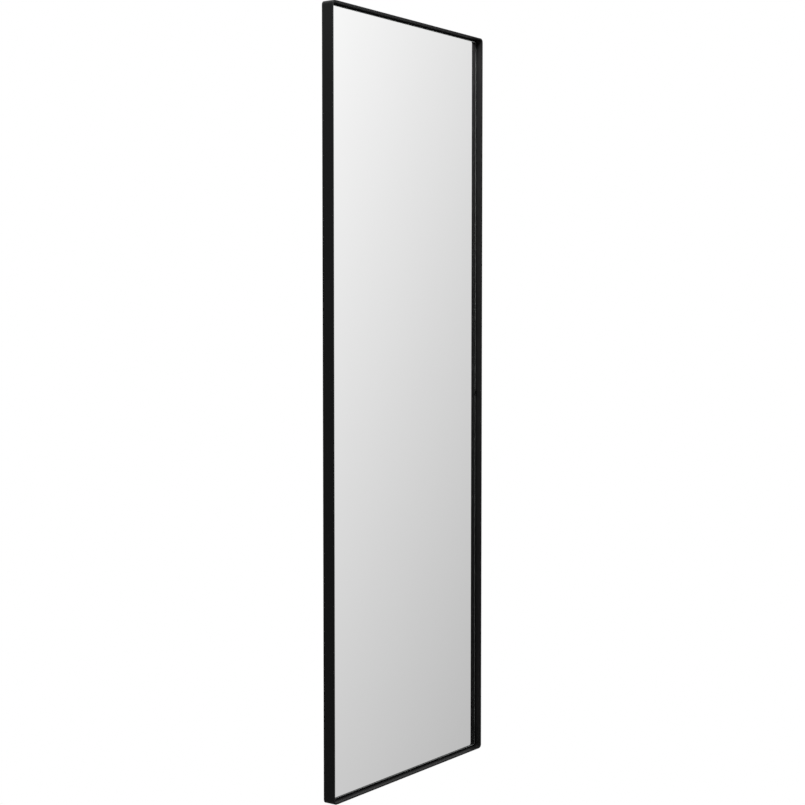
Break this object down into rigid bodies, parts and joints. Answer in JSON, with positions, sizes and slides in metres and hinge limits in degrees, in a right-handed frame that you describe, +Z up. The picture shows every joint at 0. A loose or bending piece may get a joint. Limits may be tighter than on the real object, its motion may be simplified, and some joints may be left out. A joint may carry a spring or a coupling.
{
  "type": "pull-out wardrobe mirror",
  "caption": "Full-length mirror in a slim black steel frame that slides out of a wardrobe on telescopic runners and swivels on a vertical pin to face the user.",
  "frame": {"origin": "centre of the fixing holes, on the rear face of the mounting plate", "axes": "+X the pull-out direction, towards the wardrobe's front; +Y towards the cabinet side that carries the part; +Z up"},
  "size_m": [0.34, 0.0555, 1],
  "materials": {
    "black_powder_coat": "fine-textured matt black powder coat on steel",
    "silvered_glass": "polished, silvered behind, ground arris",
    "foam_tape": "closed-cell foam tape",
    "hardboard": "smooth brown hardboard",
    "zinc_steel": "bright zinc plate",
    "bearing_steel": "polished",
    "black_plastic": "moulded, fine matt",
    "white_plastic": "smooth, slightly translucent",
    "black_rubber": "matt rubber"
  },
  "bodies": {
    "base": {"mounting_plate": "black_powder_coat", "plate_rivets": "zinc_steel", "rear_buffers": "black_plastic", "upper_outer_member": "zinc_steel", "lower_outer_member": "zinc_steel"},
    "carriage": {"carriage_plate": "black_powder_coat", "carriage_rivets": "zinc_steel", "rest_buffers": "black_rubber", "pivot_pin": "zinc_steel", "pin_clip": "zinc_steel", "friction_washers": "white_plastic", "upper_inner_member": "zinc_steel", "lower_inner_member": "zinc_steel"},
    "mirror_panel": {"mirror_frame": "black_powder_coat", "mirror_glass": "silvered_glass", "mirror_tape": "foam_tape", "backing_board": "hardboard", "frame_lugs": "black_powder_coat", "board_screws": "zinc_steel", "upper_cross_rail": "black_powder_coat", "lower_cross_rail": "black_powder_coat", "weld_nuts": "zinc_steel", "glass_side_clips": "black_plastic", "swivel_bracket": "black_powder_coat", "bracket_screws": "zinc_steel", "upper_pivot_bush": "black_plastic", "lower_pivot_bush": "black_plastic"},
    "upper_middle": {"upper_middle_member": "zinc_steel"},
    "upper_outer_cage_set": {"upper_outer_cage": "zinc_steel", "upper_outer_balls": "bearing_steel"},
    "upper_inner_cage_set": {"upper_inner_cage": "zinc_steel", "upper_inner_balls": "bearing_steel"},
    "lower_middle": {"lower_middle_member": "zinc_steel"},
    "lower_outer_cage_set": {"lower_outer_cage": "zinc_steel", "lower_outer_balls": "bearing_steel"},
    "lower_inner_cage_set": {"lower_inner_cage": "zinc_steel", "lower_inner_balls": "bearing_steel"}
  },
  "joints": [
    {"name": "pull_out", "type": "slide", "parent": "base", "child": "carriage", "axis": [1, 0, 0], "range_m": [0, 0.25]},
    {"name": "swivel", "type": "hinge", "parent": "carriage", "child": "mirror_panel", "pos_m": [0.135, -0.0265, 0], "axis": [0, 0, 1], "range_deg": [0, 90]},
    {"name": "upper_middle_travel", "type": "slide", "parent": "base", "child": "upper_middle", "axis": [1, 0, 0], "range_m": [0, 0.125]},
    {"name": "upper_outer_cage_travel", "type": "slide", "parent": "base", "child": "upper_outer_cage_set", "axis": [1, 0, 0], "range_m": [0, 0.0625]},
    {"name": "upper_inner_cage_travel", "type": "slide", "parent": "upper_middle", "child": "upper_inner_cage_set", "axis": [1, 0, 0], "range_m": [0, 0.0625]},
    {"name": "lower_middle_travel", "type": "slide", "parent": "base", "child": "lower_middle", "axis": [1, 0, 0], "range_m": [0, 0.125]},
    {"name": "lower_outer_cage_travel", "type": "slide", "parent": "base", "child": "lower_outer_cage_set", "axis": [1, 0, 0], "range_m": [0, 0.0625]},
    {"name": "lower_inner_cage_travel", "type": "slide", "parent": "lower_middle", "child": "lower_inner_cage_set", "axis": [1, 0, 0], "range_m": [0, 0.0625]}
  ],
  "couplings": [
    {"joint": "upper_middle_travel", "follows": "pull_out", "ratio": 0.5},
    {"joint": "upper_outer_cage_travel", "follows": "pull_out", "ratio": 0.25},
    {"joint": "upper_inner_cage_travel", "follows": "pull_out", "ratio": 0.25},
    {"joint": "lower_middle_travel", "follows": "pull_out", "ratio": 0.5},
    {"joint": "lower_outer_cage_travel", "follows": "pull_out", "ratio": 0.25},
    {"joint": "lower_inner_cage_travel", "follows": "pull_out", "ratio": 0.25}
  ]
}
